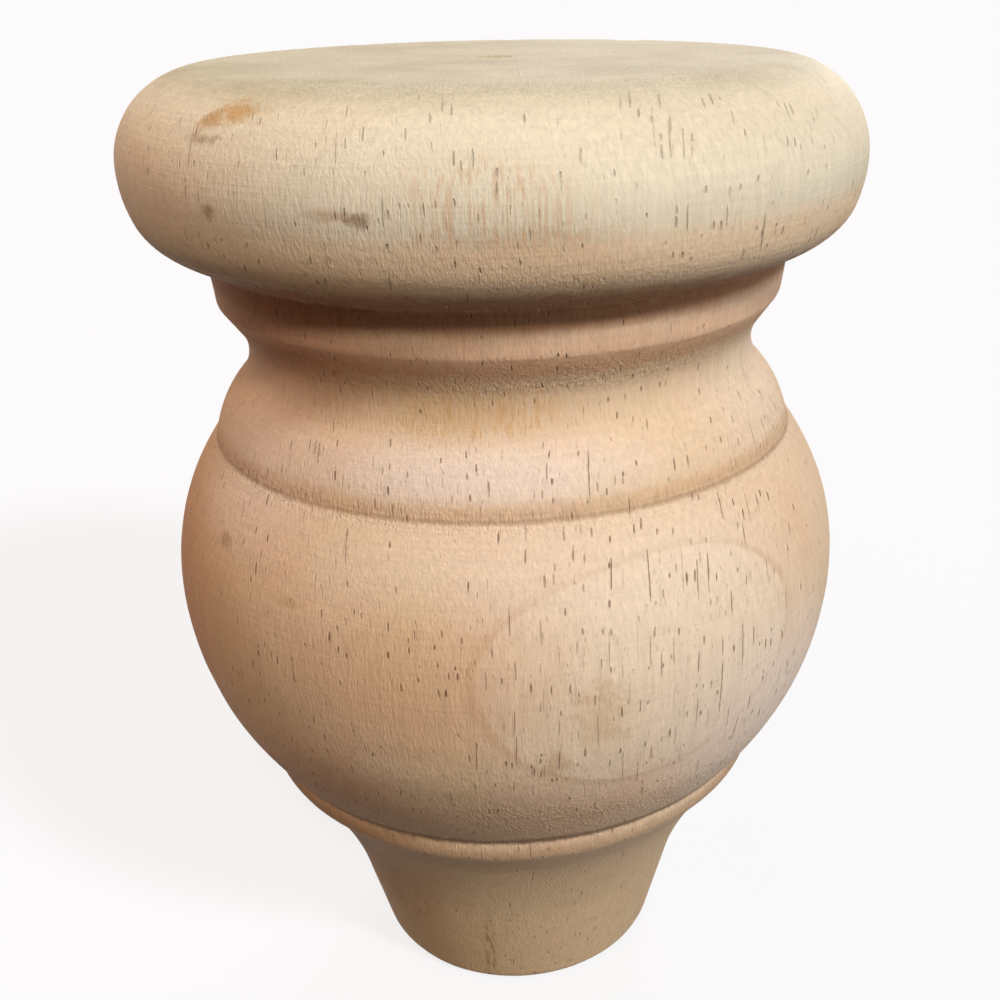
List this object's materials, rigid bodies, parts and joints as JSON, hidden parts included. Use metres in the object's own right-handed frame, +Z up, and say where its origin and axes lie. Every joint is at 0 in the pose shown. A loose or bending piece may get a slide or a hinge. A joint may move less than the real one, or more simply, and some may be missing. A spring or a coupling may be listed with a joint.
{
  "type": "turned wooden furniture foot",
  "caption": "Round turned wooden furniture foot with a wide rounded disc on top, a coved neck, a ball body and a tapered end that stands on the floor.",
  "frame": {"origin": "middle of the round face that stands on the floor", "axes": "+Z up along the turning axis, towards the wide disc that goes against the furniture"},
  "size_m": [0.0732, 0.0732, 0.1],
  "materials": {
    "wood": "raw sanded rubberwood, matt, with open pores and fine turning marks"
  },
  "bodies": {
    "root": {"turned_foot": "wood"}
  },
  "joints": []
}
